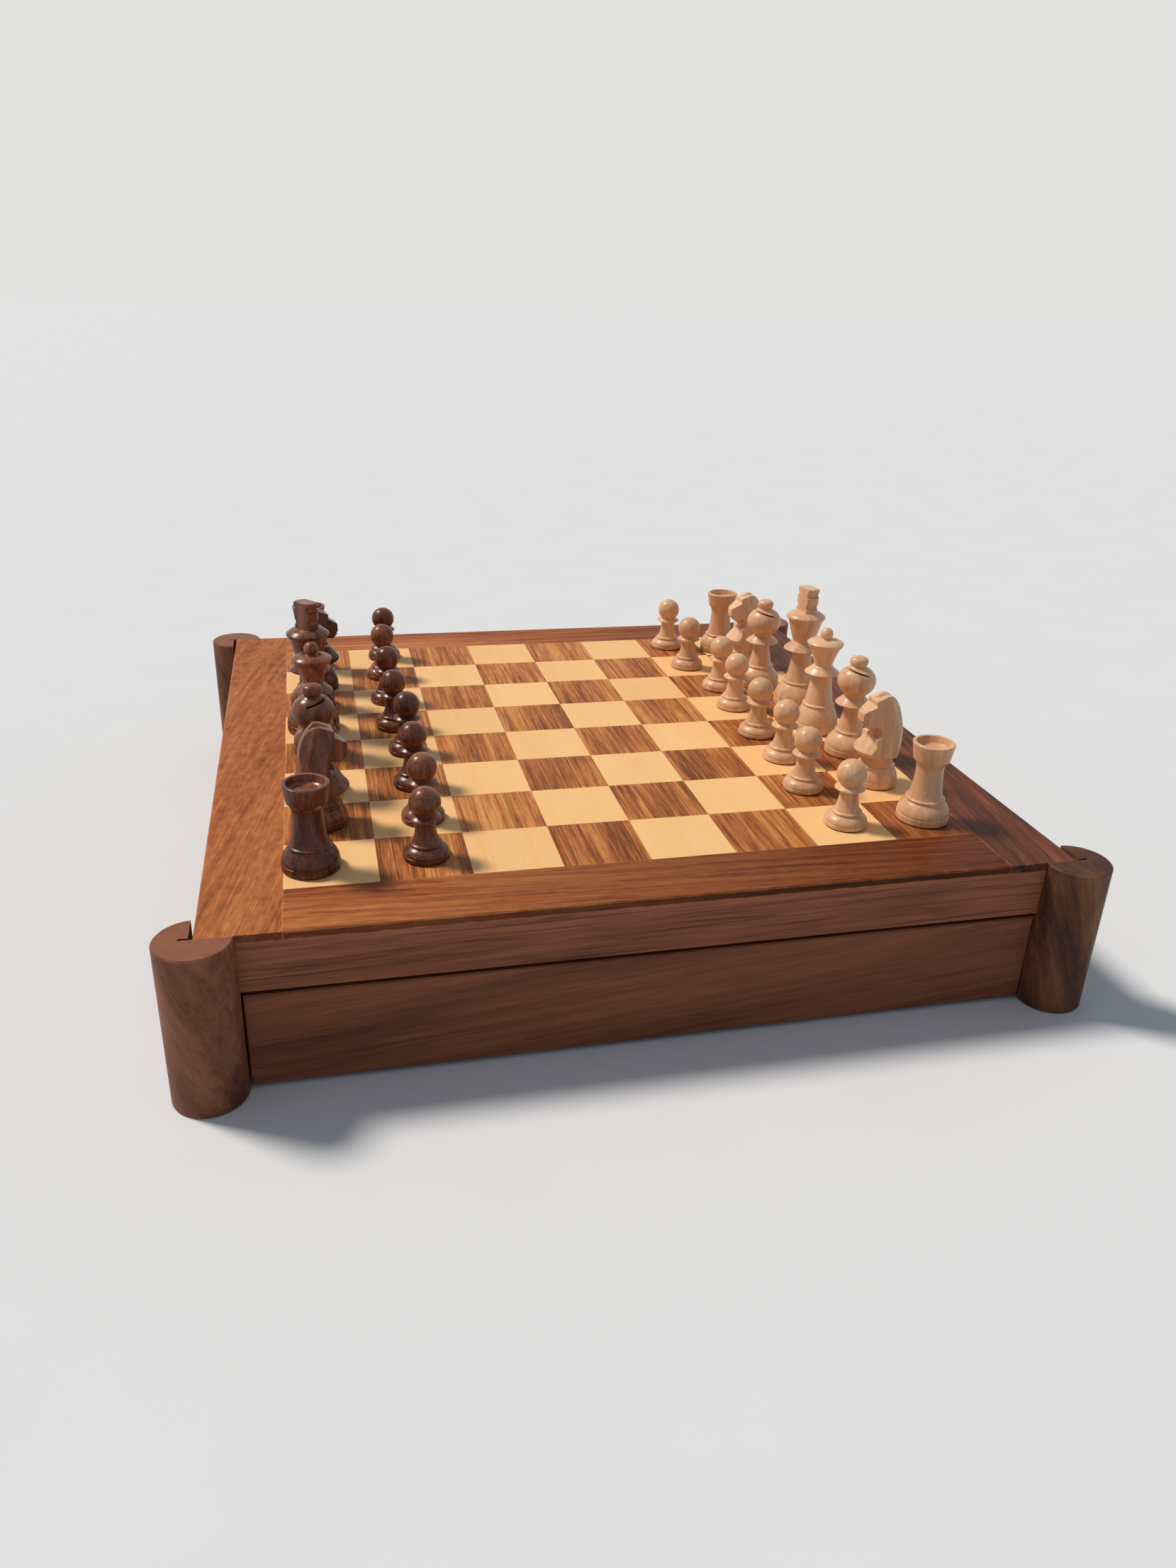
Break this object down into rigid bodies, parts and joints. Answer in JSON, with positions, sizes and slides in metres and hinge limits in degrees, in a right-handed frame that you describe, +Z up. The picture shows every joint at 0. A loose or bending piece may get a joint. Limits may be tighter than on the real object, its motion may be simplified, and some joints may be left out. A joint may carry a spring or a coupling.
{
  "type": "chess box",
  "caption": "Chess board on a wooden case with a drawer at each of two opposite sides, fitted compartments inside, round corner posts, and a full set of turned and carved pieces set out on top.",
  "frame": {"origin": "on the table under the middle of the board", "axes": "+X from the dark side to the light side, +Y from the near drawer to the far drawer, +Z up"},
  "size_m": [0.324, 0.324, 0.1138],
  "materials": {
    "case": "satin",
    "border": "satin",
    "light_squares": "satin",
    "dark_squares": "satin",
    "plywood": "matte",
    "felt": "matte",
    "light_pieces": "satin",
    "dark_pieces": "polished"
  },
  "bodies": {
    "case": {"board_core": "plywood", "light_squares": "light_squares", "dark_squares": "dark_squares", "border_left": "border", "border_right": "border", "border_near": "border", "border_far": "border", "corner_post_near_left": "case", "corner_post_near_right": "case", "corner_post_far_left": "case", "corner_post_far_right": "case", "side_panel_left": "case", "side_panel_right": "case", "apron_near": "case", "apron_far": "case", "base_panel": "plywood", "base_felt": "felt", "drawer_divider": "plywood"},
    "near_drawer": {"near_drawer_front": "case", "near_drawer_frame": "plywood", "near_drawer_bottom": "plywood", "near_drawer_lining": "felt", "near_drawer_slats": "plywood"},
    "far_drawer": {"far_drawer_front": "case", "far_drawer_frame": "plywood", "far_drawer_bottom": "plywood", "far_drawer_lining": "felt", "far_drawer_slats": "plywood"},
    "light_rook_a": {"light_rook_a": "light_pieces"},
    "light_knight_b": {"light_knight_b": "light_pieces"},
    "light_bishop_c": {"light_bishop_c": "light_pieces"},
    "light_queen_d": {"light_queen_d": "light_pieces"},
    "light_king_e": {"light_king_e": "light_pieces"},
    "light_bishop_f": {"light_bishop_f": "light_pieces"},
    "light_knight_g": {"light_knight_g": "light_pieces"},
    "light_rook_h": {"light_rook_h": "light_pieces"},
    "dark_rook_a": {"dark_rook_a": "dark_pieces"},
    "dark_knight_b": {"dark_knight_b": "dark_pieces"},
    "dark_bishop_c": {"dark_bishop_c": "dark_pieces"},
    "dark_queen_d": {"dark_queen_d": "dark_pieces"},
    "dark_king_e": {"dark_king_e": "dark_pieces"},
    "dark_bishop_f": {"dark_bishop_f": "dark_pieces"},
    "dark_knight_g": {"dark_knight_g": "dark_pieces"},
    "dark_rook_h": {"dark_rook_h": "dark_pieces"},
    "light_pawn_a": {"light_pawn_a": "light_pieces"},
    "light_pawn_b": {"light_pawn_b": "light_pieces"},
    "light_pawn_c": {"light_pawn_c": "light_pieces"},
    "light_pawn_d": {"light_pawn_d": "light_pieces"},
    "light_pawn_e": {"light_pawn_e": "light_pieces"},
    "light_pawn_f": {"light_pawn_f": "light_pieces"},
    "light_pawn_g": {"light_pawn_g": "light_pieces"},
    "light_pawn_h": {"light_pawn_h": "light_pieces"},
    "dark_pawn_a": {"dark_pawn_a": "dark_pieces"},
    "dark_pawn_b": {"dark_pawn_b": "dark_pieces"},
    "dark_pawn_c": {"dark_pawn_c": "dark_pieces"},
    "dark_pawn_d": {"dark_pawn_d": "dark_pieces"},
    "dark_pawn_e": {"dark_pawn_e": "dark_pieces"},
    "dark_pawn_f": {"dark_pawn_f": "dark_pieces"},
    "dark_pawn_g": {"dark_pawn_g": "dark_pieces"},
    "dark_pawn_h": {"dark_pawn_h": "dark_pieces"}
  },
  "joints": [
    {"name": "near_drawer_slide", "type": "slide", "parent": "case", "child": "near_drawer", "axis": [0, -1, 0], "range_m": [0, 0.11]},
    {"name": "far_drawer_slide", "type": "slide", "parent": "case", "child": "far_drawer", "axis": [0, 1, 0], "range_m": [0, 0.11]},
    {"name": "light_rook_a_lift", "type": "slide", "parent": "case", "child": "light_rook_a", "axis": [0, 0, 1], "range_m": [0, 0.06]},
    {"name": "light_knight_b_lift", "type": "slide", "parent": "case", "child": "light_knight_b", "axis": [0, 0, 1], "range_m": [0, 0.06]},
    {"name": "light_bishop_c_lift", "type": "slide", "parent": "case", "child": "light_bishop_c", "axis": [0, 0, 1], "range_m": [0, 0.06]},
    {"name": "light_queen_d_lift", "type": "slide", "parent": "case", "child": "light_queen_d", "axis": [0, 0, 1], "range_m": [0, 0.06]},
    {"name": "light_king_e_lift", "type": "slide", "parent": "case", "child": "light_king_e", "axis": [0, 0, 1], "range_m": [0, 0.06]},
    {"name": "light_bishop_f_lift", "type": "slide", "parent": "case", "child": "light_bishop_f", "axis": [0, 0, 1], "range_m": [0, 0.06]},
    {"name": "light_knight_g_lift", "type": "slide", "parent": "case", "child": "light_knight_g", "axis": [0, 0, 1], "range_m": [0, 0.06]},
    {"name": "light_rook_h_lift", "type": "slide", "parent": "case", "child": "light_rook_h", "axis": [0, 0, 1], "range_m": [0, 0.06]},
    {"name": "dark_rook_a_lift", "type": "slide", "parent": "case", "child": "dark_rook_a", "axis": [0, 0, 1], "range_m": [0, 0.06]},
    {"name": "dark_knight_b_lift", "type": "slide", "parent": "case", "child": "dark_knight_b", "axis": [0, 0, 1], "range_m": [0, 0.06]},
    {"name": "dark_bishop_c_lift", "type": "slide", "parent": "case", "child": "dark_bishop_c", "axis": [0, 0, 1], "range_m": [0, 0.06]},
    {"name": "dark_queen_d_lift", "type": "slide", "parent": "case", "child": "dark_queen_d", "axis": [0, 0, 1], "range_m": [0, 0.06]},
    {"name": "dark_king_e_lift", "type": "slide", "parent": "case", "child": "dark_king_e", "axis": [0, 0, 1], "range_m": [0, 0.06]},
    {"name": "dark_bishop_f_lift", "type": "slide", "parent": "case", "child": "dark_bishop_f", "axis": [0, 0, 1], "range_m": [0, 0.06]},
    {"name": "dark_knight_g_lift", "type": "slide", "parent": "case", "child": "dark_knight_g", "axis": [0, 0, 1], "range_m": [0, 0.06]},
    {"name": "dark_rook_h_lift", "type": "slide", "parent": "case", "child": "dark_rook_h", "axis": [0, 0, 1], "range_m": [0, 0.06]},
    {"name": "light_pawn_a_lift", "type": "slide", "parent": "case", "child": "light_pawn_a", "axis": [0, 0, 1], "range_m": [0, 0.06]},
    {"name": "light_pawn_b_lift", "type": "slide", "parent": "case", "child": "light_pawn_b", "axis": [0, 0, 1], "range_m": [0, 0.06]},
    {"name": "light_pawn_c_lift", "type": "slide", "parent": "case", "child": "light_pawn_c", "axis": [0, 0, 1], "range_m": [0, 0.06]},
    {"name": "light_pawn_d_lift", "type": "slide", "parent": "case", "child": "light_pawn_d", "axis": [0, 0, 1], "range_m": [0, 0.06]},
    {"name": "light_pawn_e_lift", "type": "slide", "parent": "case", "child": "light_pawn_e", "axis": [0, 0, 1], "range_m": [0, 0.06]},
    {"name": "light_pawn_f_lift", "type": "slide", "parent": "case", "child": "light_pawn_f", "axis": [0, 0, 1], "range_m": [0, 0.06]},
    {"name": "light_pawn_g_lift", "type": "slide", "parent": "case", "child": "light_pawn_g", "axis": [0, 0, 1], "range_m": [0, 0.06]},
    {"name": "light_pawn_h_lift", "type": "slide", "parent": "case", "child": "light_pawn_h", "axis": [0, 0, 1], "range_m": [0, 0.06]},
    {"name": "dark_pawn_a_lift", "type": "slide", "parent": "case", "child": "dark_pawn_a", "axis": [0, 0, 1], "range_m": [0, 0.06]},
    {"name": "dark_pawn_b_lift", "type": "slide", "parent": "case", "child": "dark_pawn_b", "axis": [0, 0, 1], "range_m": [0, 0.06]},
    {"name": "dark_pawn_c_lift", "type": "slide", "parent": "case", "child": "dark_pawn_c", "axis": [0, 0, 1], "range_m": [0, 0.06]},
    {"name": "dark_pawn_d_lift", "type": "slide", "parent": "case", "child": "dark_pawn_d", "axis": [0, 0, 1], "range_m": [0, 0.06]},
    {"name": "dark_pawn_e_lift", "type": "slide", "parent": "case", "child": "dark_pawn_e", "axis": [0, 0, 1], "range_m": [0, 0.06]},
    {"name": "dark_pawn_f_lift", "type": "slide", "parent": "case", "child": "dark_pawn_f", "axis": [0, 0, 1], "range_m": [0, 0.06]},
    {"name": "dark_pawn_g_lift", "type": "slide", "parent": "case", "child": "dark_pawn_g", "axis": [0, 0, 1], "range_m": [0, 0.06]},
    {"name": "dark_pawn_h_lift", "type": "slide", "parent": "case", "child": "dark_pawn_h", "axis": [0, 0, 1], "range_m": [0, 0.06]}
  ]
}
